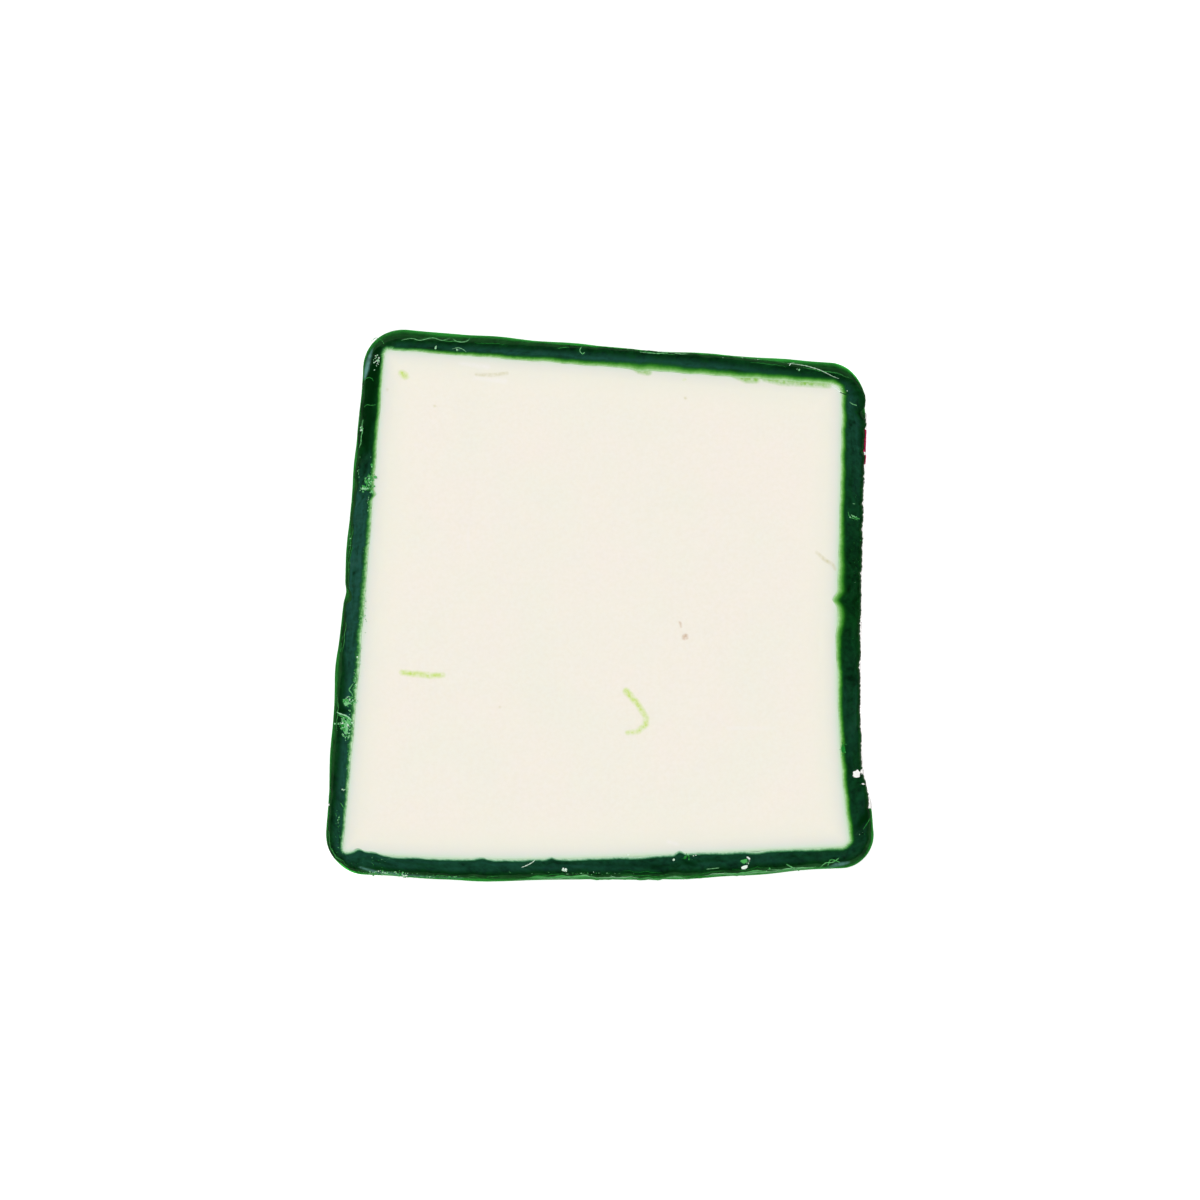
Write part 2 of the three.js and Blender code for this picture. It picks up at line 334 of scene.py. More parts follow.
# Wax that the knife dragged on to the face: streaks and blots, with their half widths. One tan stroke is a
# hairline crack, painted darker as shade in the crack.
MARKS = {  # field: colour, strength and strokes; later ones lie over earlier ones
    "pale_mm": ("#f6f3f4", 0.5, [
        [(-22.4, 39, 0.1), (-18, 38.4, 0.3)],
        [(-20, 36.6, 0.1), (-15.2, 36.1, 0.3)],
        [(-21.1, 12.4, 0), (-21.1, 9, 0.05)],
        [(20.8, -19.9, 0.1), (28.3, -19.8, 0)],
        [(11.2, -38.2, 0.2), (12.7, -38.6, 0.1)],
    ]),
    "green_mm": ("#c2de60", 0.95, [
        [(-31.8, 37.35, 0.4), (-31.3, 37, 0.45), (-30.9, 36.7, 0.1)],
        [(-31.8, -10.9, 0.25), (-29.5, -11.1, 0.35), (-27, -11.4, 0.3), (-25.2, -11.3, 0.25)],
        [(4.4, -13.9, 0.4), (6, -15.7, 0.35), (7.6, -18.1, 0.3), (7.6, -19.2, 0.3),
         (6.3, -20.4, 0.25), (4.6, -20.6, 0.2)],
        [(13.6, 36.3, -0.05), (13.9, 36.4, -0.05)],
    ]),
    "lime_mm": ("#86c04a", 0.95, [
        [(5.6, 38.6, 0.5), (6.6, 38.2, 0.75), (7.6, 37.8, 0.6), (8, 37.6, 0.4)],
        [(21.8, 37.2, 0.4), (23.8, 36.8, 0.85), (25.3, 36.5, 0.6)],
        [(26.8, 36.6, 0.4), (29.5, 36.2, 0.65), (33, 35.9, 0.5), (37, 35.5, 0.35)],
    ]),
    "tan_and_crack_shade_mm": ("#c2bb80", 0.85, [
        [(-19.8, 37.2, 0.02), (-17.3, 37.1, 0.08), (-14.8, 37.4, 0.02)],
        # A hairline crack, painted as a darker tan line: painted shade in the crack.
        [(35.1, 8.5, 0), (36.3, 7.4, 0.08), (37.7, 6.5, 0.05), (38.1, 5.8, 0)],
        [(-16, -16.5, 0), (-15.9, -16.5, 0)],
        [(-26.6, 32.1, 0), (-26.5, 32.1, 0)],
        [(13.9, 33.4, 0), (14, 33.4, 0)],
        [(-34.2, 34.7, 0), (-34.1, 34.7, 0)],
    ]),
    "brown_mm": ("#b07c3c", 1, [
        [(13.8, -5.2, 0.25), (14, -5.1, 0.25)],
        [(13, -2.7, -0.1), (13.2, -3.1, 0), (13.3, -3.6, -0.1)],
    ]),
}
MARK_EDGE = (-0.2, 0.35)  # a mark fades out between these distances from its strokes
FACE_WAVES = [  # length, height and direction in degrees of the knife's slow waves
    (23, 0.05, 80),
    (9, 0.02, 95),
    (37, 0.06, 10),
]
FACE_SINK = 0.08
LEVEL_MARGIN = 3.0


def knife_waves(plan):
    """Height left by the knife: a sum of plane sine waves."""
    height = np.zeros(plan.shape[:-1])
    for length, size, degrees in FACE_WAVES:
        heading = np.array([np.cos(np.radians(degrees)), np.sin(np.radians(degrees))])
        height += size * np.sin(2 * np.pi * (plan @ heading) / length + length)
    return height


top_plan = cut_face(face_shares)
top_edge = edge_distance(top_plan)
settle = np.clip(top_edge / LEVEL_MARGIN, 0, 1).reshape(top_plan.shape[:2])
top_height = SLAB_HEIGHT + (knife_waves(top_plan) - FACE_SINK) * settle
top_points = np.dstack([top_plan, top_height]).reshape(-1, 3)
bottom_plan = cut_face(face_shares[::2])
bottom_points = np.dstack([bottom_plan, np.zeros(bottom_plan.shape[:2])]).reshape(-1, 3)


def rim(rows, columns):
    """The border of a grid numbered row by row, starting along its first column."""
    down, along = np.arange(rows - 1), np.arange(columns - 1)
    return np.concatenate([down * columns, (rows - 1) * columns + along,
                           (rows - down) * columns - 1, columns - 1 - along])


top_rim = rim(*top_plan.shape[:2])
bottom_rim = rim(*bottom_plan.shape[:2]) + len(top_points)
low, low_next = bottom_rim, np.roll(bottom_rim, -1)
high, high_middle, high_next = top_rim[::2], top_rim[1::2], np.roll(top_rim[::2], -1)
cheese_faces = [
    grid_faces(*top_plan.shape[:2])[:, ::-1],
    grid_faces(*bottom_plan.shape[:2]) + len(top_points),
    np.vstack([np.stack(side, axis=1) for side in (
        (low, low_next, high_middle), (low, high_middle, high), (low_next, high_next, high_middle))]),
]

# Young white cheddar: an ivory fat and protein mass that light enters a little, painted cooler,
# greener and darker beside the wax as a painted green light bleeding in from the wax, with a faint
# cloudiness and the fine drag lines of the knife.
cheese_material, tree, shader = new_material("knife cut ivory cheddar", {
    "Roughness": 0.5, "IOR": 1.45, "Subsurface Weight": 0.15,
    "Subsurface Radius": (1, 0.8, 0.5), "Subsurface Scale": 1.5 * MM})
place = add(tree, "TexCoord", "Object")
clouds = add(tree, "TexNoise", "Fac", {"Vector": place, "Scale": 1 / (14 * MM), "Detail": 3})
body = mix(tree, remap(tree, clouds, 0.35, 0.65), "#f4ede3", "#f1eee2")
grain = add(tree, "TexNoise", "Fac", {"Vector": place, "Scale": 1 / (0.6 * MM), "Detail": 2})
body = mix(tree, remap(tree, grain, 0.3, 0.75, 0, 0.35), body, "#ebe4d2")
edge_mm = field(tree, "edge_mm")
# Beside the wax the cheese is painted greener and darker: a painted green light bleeding in from the wax.
painted_bleed = ramp(tree, remap(tree, edge_mm, 0, MARGIN_WIDTH), [
    (0, "#b4d8ac"), (0.04, "#d2e2cc"), (0.09, "#dfe4d8"),
    (0.16, "#e6e6db"), (0.31, "#ecebdd"), (0.65, "#f1eddf")])
body = mix(tree, remap(tree, edge_mm, 0.5, MARGIN_WIDTH, 1, 0), body, painted_bleed)
faded = remap(tree, grain, 0.3, 0.7, 0.35, 1)
for mark, (colour, strength, _) in MARKS.items():
    mark_share = remap(tree, field(tree, mark), *MARK_EDGE, strength, 0)
    body = mix(tree, combine(tree, "MULTIPLY", mark_share, faded), body, colour)
tree.links.new(body, shader.inputs["Base Color"])
stretched = add(tree, "Mapping", "Vector", {"Vector": place, "Scale": (0.15, 1, 1)})
drag = add(tree, "TexNoise", "Fac", {"Vector": stretched, "Scale": 1 / (0.6 * MM), "Detail": 3})
relief = add(tree, "Bump", "Normal", {"Height": drag, "Strength": 0.25, "Distance": 0.05 * MM})
tree.links.new(relief, shader.inputs["Normal"])

unmarked = np.full(len(bottom_points), FAR_AWAY)
marked = {mark: np.concatenate([stroke_distance(top_plan, strokes), unmarked])
          for mark, (_, _, strokes) in MARKS.items()}
cheese = add_mesh(
    "cheddar_body", np.vstack([top_points, bottom_points]), cheese_faces, cheese_material, flat=(2,),
    edge_mm=np.concatenate([top_edge, edge_distance(bottom_plan)]), **marked)
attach(cheese, "root")
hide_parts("cheese")

# The wax coat: cheese wax poured on thick and cut through with the slab. One closed section,
# from a thin film over the cheese's edge, across the cut and down the wall, is carried round.
WAX_CUT = dict(corners=[[-37.2, 43.4], [42.7, 37.1], [43.7, -41.5], [-44.1, -42.8]],
               radii=[5.6, 5.2, 4.6, 5.2], bows=[1, -1.1, 1.4, 0.15], leans=[0.8, 0.8, 0, -0.5])
WAX_SWELL = dict(corners=[[-37.75, 45.3], [42.9, 39.1], [44.55, -42.8], [-44.95, -43.8]],
                 radii=[6.9, 5.8, 5.3, 6.9], bows=[-0.35, -1.4, 1.4, 0.25], leans=[-0.5, 0.9, 0.1, -0.9])
SWELL_DEPTH = 8.0
BAND_SHARES = np.array([0, 0.03, 0.07, 0.12, 0.18, 0.25, 0.33, 0.42, 0.51, 0.6, 0.69, 0.78, 0.86, 0.93, 0.98])
WALL_DEPTHS = np.array([0.04, 0.12, 0.25, 0.45, 0.7, 1, 1.4, 1.9, 2.5, 3.3, 4.3, 5.5, 7, 8.5, 10, 11.5, 13])
# The sag and the waves of the cut band, the film's thickness at its tip and on, with the width
# over which it grows, and the heights between which the hidden inner wall of the ring runs.
EDGE_ROUND = 0.3
WOBBLE_DEPTH = 1.5
RIM_SINK = 0.12
BAND_DROOP = 0.22
BAND_WAVE = 0.05
FILM_TIP, FILM_FULL, FILM_RISE = 0.02, 0.1, 0.25
INNER_HEIGHTS = (0.3, SLAB_HEIGHT - 0.4)
LUMPS = [  # side, share along it, height up the wall, size, half width along and up
    (FAR, 0.2, 18, 0.15, 6, 9),
    (FAR, 0.67, 9, -0.25, 5, 4),
    (RIGHT, 0.84, 21, -0.35, 5, 9),
    (RIGHT, 0.94, 19, 0.5, 3.2, 10),
    (NEAR, 0.33, 19, 0.3, 10, 9),
    (NEAR, 0.6, 19, -0.4, 5, 9),
    (NEAR, 0.76, 19, 0.25, 6, 9),
    (NEAR, 0.3, 8, -0.3, 4, 5),
    (NEAR, 0.47, 5, 0.3, 3, 6),
    (LEFT, 0.515, 26, -0.6, 0.9, 9),
    (LEFT, 0.36, 18, 0.25, 4, 8),
    (LEFT, 0.8, 17, 0.2, 5, 8),
    (LEFT, 0.62, 9, -0.25, 6, 5),
]
WALL_WAVES = [  # length along the wall, turns over the height, size and start
    (31, 0.5, 0.1, 0.4),
    (17, -1, 0.07, 2.1),
    (11, 1.5, 0.05, 4.4),
]
FILM_REACHES = [  # side, share along it, how far the film reaches over the cheese, half width
    (FAR, 0.565, 0.15, 0.9),
    (FAR, 0.78, 0.1, 1.6),
    (RIGHT, 0.461, 0.8, 0.9),
    (RIGHT, 0.56, 0.25, 2.5),
    (NEAR, 0.978, 0.7, 0.9),
    (NEAR, 0.95, 0.5, 1.6),
    (NEAR, 0.586, 0.4, 0.7),
    (NEAR, 0.727, 0.35, 1),
    (NEAR, 0.326, 0.6, 0.7),
    (NEAR, 0.29, 0.3, 2),
    (LEFT, 0.72, 0.5, 0.5),
]
EDGE_BITES = [  # x and y of a bite in the cut edge, its depth (below zero for a bump) and half width
    (42.6, 33, -0.3, 1.6),
    (42.6, 28.8, -0.4, 0.9),
    (42.5, 30.8, 0.7, 0.6),
    (42.5, 27.9, 0.25, 0.35),
    (42.4, 24.4, 0.3, 0.35),
    (42.4, 20.5, 0.2, 0.3),
    (42.3, 16, 0.25, 0.3),
    (42.3, 9, 0.2, 0.3),
    (42.3, 5, 0.2, 0.25),
    (42.8, -30, -0.2, 2.2),
    (42.8, -32.9, 0.2, 0.35),
    (-41.6, 0.8, 0.35, 0.4),
]
# By turn: how far the film reaches, then how much greyish haze lies on the cut, a painted
# reflection of soft light, how wide a strip along its outer edge is left without that painted
# reflection, and how wide, lime green and ragged the thin edge of the film is.
FILM_ALONG = [(0, 0.3), (0.45, 0.45), (0.6, 0.6), (0.9, 0.35), (1, 0.16), (2, 0.06),
              (2.9, 0.06), (3.05, 0.25), (3.5, 0.35), (3.9, 0.3), (4, 0.2)]
FIELDS_ALONG = {
    "painted_reflection": [(0, 0.5), (0.3, 0.8), (0.6, 0.85), (0.95, 0.9), (1.1, 0.6), (1.25, 0.2), (1.5, 0.05),
              (1.65, 0.3), (1.85, 0.2), (2, 0.3), (2.5, 0.45), (2.9, 0.5), (3.1, 0.8),
              (3.3, 0.8), (3.4, 0.85), (3.7, 0.9), (3.8, 0.15), (3.95, 0), (4, 0.4)],
    "reflection_free_mm": [(0, 1), (0.3, 0.9), (0.7, 1.1), (0.95, 1.6), (1.06, 1.2), (1.15, 0.3), (1.9, 0.3),
                 (2.1, 0.6), (2.9, 0.7), (3.1, 1), (3.35, 1), (3.45, 0.1), (3.7, 0.1),
                 (3.8, 0.8), (4, 1)],
    "fringe_mm": [(0, 0.9), (0.25, 1), (0.5, 1.2), (0.57, 1.8), (0.65, 1.4), (0.9, 1.25),
                  (1.1, 1), (1.3, 1.1), (1.47, 1.7), (1.6, 1), (1.95, 1), (2.1, 0.6),
                  (2.9, 0.55), (3.1, 0.8), (3.3, 0.95), (3.5, 1), (3.8, 0.95), (4, 0.9)],
    "lime": [(0, 0.6), (0.15, 1), (1.95, 1), (2.1, 0.25), (2.3, 0), (2.9, 0), (3.1, 0.5),
             (3.9, 0.9), (4, 0.6)],
    "ragged_mm": [(0, 0.06), (2.95, 0.05), (3.1, 0.12), (3.25, 0.2), (3.55, 0.18), (3.7, 0.1),
                  (4, 0.06)],
}
# Local patches seen from above, as strokes with half widths, and how softly they end: grey-teal
# patches of painted reflection on the glossy shoulder, and deep glassy spots where the cut is cleanest.
PATCHES = {
    "painted_gloss_patch": (0.3, [
        [(-36.6, 41.3, 0.05), (-37.1, 39.8, 0.3), (-37.5, 38, 0.3), (-37.8, 36.6, 0.1)],
        [(-38.6, -42.3, 0.05), (-36, -43.1, 0.2), (-33, -43.5, 0.2), (-28, -43.9, 0.1),
         (-22, -44.1, 0.05)],
        [(34.8, -42.8, 0.1), (36.8, -42.7, 0.2), (38.2, -42, 0.35), (40.1, -41.6, 0.2)],
    ]),
    "deep_patch": (0.8, [
        [(-35.8, 41, 0.5), (-36.3, 38, 0.6), (-36.9, 33, 0.6), (-37.5, 25, 0.4)],
        [(-42.4, -16.6, 0.2), (-41.3, -17, 0.45), (-40.3, -17.1, 0.3)],
        [(-41.2, -2.7, 0.1), (-41.4, -4.4, 0.25), (-41.6, -6.5, 0.1)],
        [(-2, -41.9, 0), (4, -42, 0.1), (9.7, -41.9, 0)],
        [(13.2, -40.9, 0.1), (14, -41.5, 0.4), (15.6, -41.9, 0.2)],
        [(40, 34.2, 0), (41.4, 34, 0.15), (42.6, 34.3, 0.1)],
        [(41.5, -36, 0.2), (42.8, -34.5, 0.8), (43.5, -33, 0.3)],
    ]),
}
PATCH_DEPTH = 3.0
OFF_FRINGE = 9.0
rng = np.random.default_rng(7)

wax_cut, _, _ = rounded_outline(**WAX_CUT)
wax_swell, wax_normals, _ = rounded_outline(**WAX_SWELL)
swell_steps = np.linalg.norm(wax_swell - np.roll(wax_swell, 1, axis=0), axis=1)
around = np.cumsum(swell_steps) - swell_steps[0]
girth = swell_steps.sum()


def ripples(shortest, longest, size, count):
    """A closed uneven line round the slab: sines of random whole wave counts and starts."""
    lengths = np.exp(rng.uniform(np.log(shortest), np.log(longest), count))
    rounds = np.round(girth / lengths)
    starts = rng.uniform(0, 2 * np.pi, count)
    waves = np.sin(2 * np.pi * rounds * around[:, None] / girth + starts)
    return size * waves.sum(axis=1) / np.sqrt(count / 2)


def along_turns(stops):
    """A value given at some turns and changing evenly between them."""
    places, values = zip(*stops)
    return np.interp(turns, places, values)


def nearness(side, share, half_width):
    """A bell over the outline, one at a share of a side and falling with distance from it."""
    middle = wax_swell[np.argmin(np.abs(turns - side - ARC_SHARE - (1 - 2 * ARC_SHARE) * share))]
    return np.exp(-(np.linalg.norm(wax_swell - middle, axis=1) / half_width) ** 2)


# The cut edge beside the label is rougher; this is one there and falls to zero at its ends.
RIGHT_MIDDLE, RIGHT_REACH, RIGHT_FADE = 1.48, 0.44, 0.1
on_right = np.clip(1 - np.abs(turns - RIGHT_MIDDLE) / RIGHT_REACH, 0, RIGHT_FADE) / RIGHT_FADE
cut_wobble = ripples(2.5, 9, 0.07, 12) + ripples(0.6, 1.6, 0.02, 20) + on_right * ripples(0.5, 1.2, 0.05, 24)
for x, y, depth, half_width in EDGE_BITES:
    bitten = wax_cut[np.argmin(np.linalg.norm(wax_cut - [x, y], axis=1))]
    cut_wobble -= depth * np.exp(-(np.linalg.norm(wax_cut - bitten, axis=1) / half_width) ** 2)
film_reach = along_turns(FILM_ALONG) + ripples(4, 12, 0.04, 10) + ripples(0.8, 2.5, 0.008, 20)
for side, share, reach, half_width in FILM_REACHES:
    film_reach += reach * nearness(side, share, half_width)


def wall_plan(z):
    """The wall at some heights: the cut outline swelling to the widest one by a quarter ellipse.

    Lumps are bells on the wall, waves are sines that climb as they go round, and both and the
    outline's wobble move the wall along its normal.
    """
    z = np.asarray(z, float)[:, None]
    depth = np.minimum(z, SLAB_HEIGHT - z)
    swell = np.sqrt(1 - np.clip(1 - depth / SWELL_DEPTH, 0, 1) ** 2)
    lift = np.zeros((len(z), len(around)))
    for side, share, middle, size, half_width, half_height in LUMPS:
        lift += size * nearness(side, share, half_width) * np.exp(-((z - middle) / half_height) ** 2)
    for length, climb, size, start in WALL_WAVES:
        angle = 2 * np.pi * (np.round(girth / length) * around / girth + climb * z / SLAB_HEIGHT)
        lift += swell * size * np.sin(angle + start)
    lift += cut_wobble * np.exp(-depth / WOBBLE_DEPTH)
    inside = np.clip(EDGE_ROUND - depth, 0, EDGE_ROUND)
    lift -= EDGE_ROUND - np.sqrt(EDGE_ROUND ** 2 - inside ** 2)
    base = wax_cut + swell[..., None] * (wax_swell - wax_cut)
    return base + lift[..., None] * wax_normals


depths = np.concatenate([WALL_DEPTHS, SLAB_HEIGHT - WALL_DEPTHS[-2::-1]])
heights = SLAB_HEIGHT - depths
wall = wall_plan(heights)
tip = cheese_edge - film_reach[:, None] * cheese_normals
cut_edge = wall[0]
band_width = np.linalg.norm(cut_edge - tip, axis=1)
shares = BAND_SHARES[:, None]
band_plan = tip + (cut_edge - tip) * shares[..., None]
droop = BAND_DROOP * shares ** 2 + BAND_WAVE * np.sin(np.pi * shares) * ripples(3, 12, 1, 8)
film = FILM_TIP + FILM_FULL * (1 - np.exp(-shares * band_width / FILM_RISE))
band_height = SLAB_HEIGHT + film - droop
wall_height = np.repeat(heights[:, None], len(around), axis=1) - RIM_SINK * np.exp(-depths)[:, None]
under_shares = BAND_SHARES[::-2][:, None]
under_plan = cheese_edge + (wall[-1] - cheese_edge) * under_shares[..., None]
under_height = np.zeros(under_plan.shape[:2])
inner_plan = np.stack([cheese_edge, cheese_edge])
inner_height = np.repeat(np.array(INNER_HEIGHTS)[:, None], len(around), axis=1)
ring_plan = np.concatenate([band_plan, wall, under_plan, inner_plan])
ring_height = np.concatenate([band_height, wall_height, under_height, inner_height])
ring = np.dstack([ring_plan, ring_height])
rows, columns = ring.shape[:2]
on_inside = np.zeros((2, columns))
wall_mm = np.repeat(np.minimum(depths, heights)[:, None], columns, axis=1)
tip_mm = np.concatenate([shares * band_width, np.full(wall_mm.shape, OFF_FRINGE),
                         under_shares * band_width, on_inside])
rim_mm = np.concatenate([(shares - 1) * band_width, wall_mm, (under_shares - 1) * band_width, on_inside])
section_steps = np.linalg.norm(np.diff(ring, axis=0), axis=2)
section = np.vstack([np.zeros(columns), np.cumsum(section_steps, axis=0)])
bearing = 2 * np.pi * around / girth
circle = np.column_stack([np.cos(bearing), np.sin(bearing)]) * girth / (2 * np.pi)
flow = np.dstack([np.repeat(circle[None], rows, axis=0), section])
wax_fields = {name: np.repeat(along_turns(stops)[None], rows, axis=0)
              for name, stops in FIELDS_ALONG.items()}
on_top = ring_height > SLAB_HEIGHT - PATCH_DEPTH
for name, (softness, strokes) in PATCHES.items():
    inside = 0.5 - stroke_distance(ring_plan, strokes).reshape(rows, columns) / softness
    wax_fields[name] = np.where(on_top, np.clip(inside, 0, 1), 0)

ring_faces = grid_faces(rows, columns, closed=True)
closing = np.stack([(rows - 1) * columns + np.arange(columns),
                    (rows - 1) * columns + np.roll(np.arange(columns), -1),
                    np.roll(np.arange(columns), -1), np.arange(columns)], axis=1)

# Dark green cheese wax: a soft paraffin blend that light enters, so that thin edges glow, with
# a greyish haze streaked along the cut that is a painted reflection of soft light, a painted
# lighter upper shoulder, and fine upright streaks on the poured walls.
wax_material, tree, shader = new_material("dark green cheese wax", {
    "Roughness": 0.28, "IOR": 1.44,
    "Sheen Weight": 0.8, "Sheen Roughness": 0.25, "Sheen Tint": rgb("#3cdc46")})
flow_place = field(tree, "flow", "Vector")
rim_value = field(tree, "rim_mm")
PATTERNS = {  # size along the wax and across it in millimetres, detail, distortion
    "cut": ((9, 1.1), 6, 0.6),
    "mottle": ((2.8, 1.8), 6, 1),
    "wall": ((2.6, 15), 3, 0.3),
    "speckle": ((0.6, 0.6), 3, 0),
}
pattern = {}
for name, ((along, across), detail, distortion) in PATTERNS.items():
    scaled = add(tree, "Mapping", "Vector", {
        "Vector": flow_place, "Scale": (1 / along, 1 / along, 1 / across)})
    noise = add(tree, "TexNoise", "Fac", {
        "Vector": scaled, "Scale": 1, "Detail": detail, "Roughness": 0.68, "Distortion": distortion})
    pattern[name] = remap(tree, noise, 0.36, 0.64)
grainy = mix(tree, 0.45, pattern["mottle"], pattern["speckle"], "Float")
deep = mix(tree, grainy, "#000c00", "#083e12")
# The greyish haze mixed into the cut band is a painted reflection of soft light, faded out along the band's
# outer edge.
reflection_grain = mix(tree, 0.5, pattern["cut"], grainy, "Float")
reflection_share = remap(tree, reflection_grain, 0.15, 0.85, 0.2, 1.4)
reflection_share = combine(tree, "MULTIPLY", reflection_share, field(tree, "painted_reflection"))
reflection_free_place = combine(tree, "DIVIDE", rim_value, field(tree, "reflection_free_mm"))
reflection_free_place = combine(tree, "ADD", reflection_free_place, reflection_grain)
reflection_share = combine(tree, "MULTIPLY", reflection_share, remap(tree, reflection_free_place, -1, 0, 1, 0.1))
band = mix(tree, reflection_share, deep, "#1f4e42")
ragged_shift = remap(tree, pattern["speckle"], 0, 1, -1, 1)
ragged_shift = combine(tree, "MULTIPLY", ragged_shift, field(tree, "ragged_mm"))
fringe_place = combine(tree, "ADD", field(tree, "tip_mm"), ragged_shift)
fringe_place = combine(tree, "DIVIDE", fringe_place, field(tree, "fringe_mm"))
lime_fringe = ramp(tree, fringe_place, [
    (0, "#badfac"), (0.25, "#74b05c"), (0.5, "#378226"), (0.75, "#145412"), (1, "#05340a")])
cool_fringe = ramp(tree, fringe_place, [
    (0, "#c9e4cd"), (0.3, "#8ab892"), (0.55, "#43805a"), (0.8, "#1a5030"), (1, "#05340a")])
fringe = mix(tree, field(tree, "lime"), cool_fringe, lime_fringe)
band = mix(tree, remap(tree, fringe_place, 0.55, 1.1, 1, 0), band, fringe)
# Both wall colours are lighter a few millimetres from the cut edges than further down the wall: painted light
# on the shoulder that shows from above.
wall_place = remap(tree, rim_value, 0, 9)
wall_light = ramp(tree, wall_place, [
    (0, "#11481a"), (0.06, "#165a20"), (0.3, "#1a6424"), (1, "#124e1c")])
wall_dark = ramp(tree, wall_place, [
    (0, "#04280c"), (0.06, "#073810"), (0.3, "#0b4616"), (1, "#083a12")])
streaks = mix(tree, 0.5, pattern["wall"], pattern["mottle"], "Float")
poured = mix(tree, streaks, wall_dark, wall_light)
surface = mix(tree, remap(tree, rim_value, -0.15, 0, 1, 0), poured, band)
surface = mix(tree, field(tree, "deep_patch"), surface, "#012408")
# Grey-teal painted reflections of the soft lights on the glossy shoulder.
gloss_patch_share = remap(tree, pattern["wall"], 0, 1, 0.4, 1)
gloss_patch_share = combine(tree, "MULTIPLY", gloss_patch_share, field(tree, "painted_gloss_patch"))
surface = mix(tree, gloss_patch_share, surface, "#5f948a")
tree.links.new(surface, shader.inputs["Base Color"])
relief = add(tree, "Bump", "Normal", {"Height": streaks, "Strength": 0.35, "Distance": 0.06 * MM})
tree.links.new(relief, shader.inputs["Normal"])

wax = add_mesh("wax_coat_poured", ring.reshape(-1, 3), [ring_faces, closing], wax_material,
               flow=flow.reshape(-1, 3), tip_mm=tip_mm, rim_mm=rim_mm, **wax_fields)
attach(wax, "root")
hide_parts("wax_coat")

# The label: coated paper stuck to the right wall and cut off with the slab, plain but for a
# crimson field. It follows the wall, and its upper edge is torn a little by the knife.
LABEL_FAR_END, LABEL_NEAR_END = 31.4, -33.2
LABEL_THICKNESS = 0.14
LABEL_GAP = 0.03
LABEL_FOOT = 0.8
LABEL_LEVELS = 40
LABEL_TORN = 0.1
WALL_LEVELS = 60
PRINT_AND_SHADE_BANDS = [  # from and to along the wall, and the colour
    (22.7, 24.2, "#b02a58"),
    (24.7, 28.3, "#a61648"),
    # The two grey bands are painted shade on the white paper, not print.
    (15.2, 15.8, "#9a9a98"),
    (19.6, 20, "#b0b0ae"),
]
on_label = (turns > RIGHT) & (turns < NEAR)
on_label &= (wax_swell[:, 1] < LABEL_FAR_END) & (wax_swell[:, 1] > LABEL_NEAR_END)
torn = LABEL_TORN + np.abs(ripples(0.7, 3, 0.1, 24))[on_label]
level = np.linspace(0, 1, LABEL_LEVELS)[:, None]
label_height = LABEL_FOOT + (SLAB_HEIGHT - torn - LABEL_FOOT) * level


def label_plan(extra):
    """The wall's plan at the label's own heights, moved outwards by an extra distance."""
    levels = np.linspace(LABEL_FOOT, SLAB_HEIGHT - EDGE_ROUND, WALL_LEVELS)
    stack = wall_plan(levels)[:, on_label] + extra * wax_normals[on_label]
    columns_at = np.arange(stack.shape[1])
    position = np.clip((label_height - levels[0]) / (levels[1] - levels[0]), 0, len(levels) - 1.001)
    below = position.astype(int)
    part = (position - below)[..., None]
    return stack[below, columns_at] * (1 - part) + stack[below + 1, columns_at] * part


front = np.dstack([label_plan(LABEL_GAP + LABEL_THICKNESS), label_height])
back = np.dstack([label_plan(LABEL_GAP), label_height])
label_columns = front.shape[1]
label_rim = np.roll(rim(LABEL_LEVELS, label_columns)[::-1], 1)
front_faces = grid_faces(LABEL_LEVELS, label_columns)
front_count = LABEL_LEVELS * label_columns
rim_next = np.roll(label_rim, -1)
label_sides = np.stack([label_rim, label_rim + front_count, rim_next + front_count, rim_next], axis=1)

label_material, tree, shader = new_material("coated label paper", {"Roughness": 0.35})
place = add(tree, "TexCoord", "Object")
label_y = add(tree, "SeparateXYZ", "Y", {"Vector": place})
fibres = add(tree, "TexNoise", "Fac", {"Vector": place, "Scale": 1 / (0.5 * MM)})
print_and_shade = mix(tree, fibres, "#fbfaf8", "#f3f2ee")
# The crimson print, and the grey bands of painted shade.
for low_end, high_end, colour in PRINT_AND_SHADE_BANDS:
    above = combine(tree, "GREATER_THAN", label_y, low_end * MM)
    below = combine(tree, "LESS_THAN", label_y, high_end * MM)
    print_and_shade = mix(tree, combine(tree, "MULTIPLY", above, below), print_and_shade, colour)
tree.links.new(print_and_shade, shader.inputs["Base Color"])
label = add_mesh("paper_label", np.vstack([front.reshape(-1, 3), back.reshape(-1, 3)]),
                 [front_faces[:, ::-1], front_faces + front_count, label_sides[:, ::-1]],
                 label_material, flat=(2,))
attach(label, "root")
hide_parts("label")

